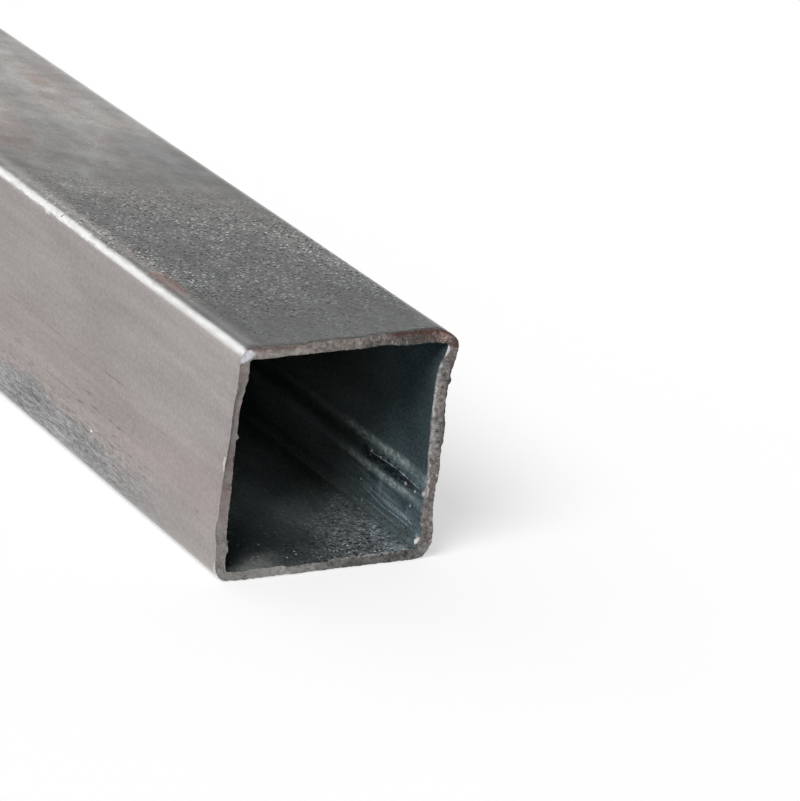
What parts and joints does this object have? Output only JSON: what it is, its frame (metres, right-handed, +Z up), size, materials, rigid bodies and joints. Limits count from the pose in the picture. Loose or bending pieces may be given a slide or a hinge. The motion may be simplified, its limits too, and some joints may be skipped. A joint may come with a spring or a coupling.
{
  "type": "square metal tube",
  "caption": "Straight length of welded square steel hollow section with small rounded corners, open at both ends, for frames, posts and brackets.",
  "frame": {"origin": "on the underside, half way along the length and half way across the width", "axes": "+Y along the tube towards its sawn far end, with the cropped near end at -Y; +Z up; the welded seam is inside the +X wall"},
  "size_m": [0.04, 1, 0.04],
  "materials": {
    "mill_steel": "dull mill finish, with faint drawing lines, fine mottle and a trace of rust stain"
  },
  "bodies": {
    "root": {"square_tube": "mill_steel"}
  },
  "joints": []
}
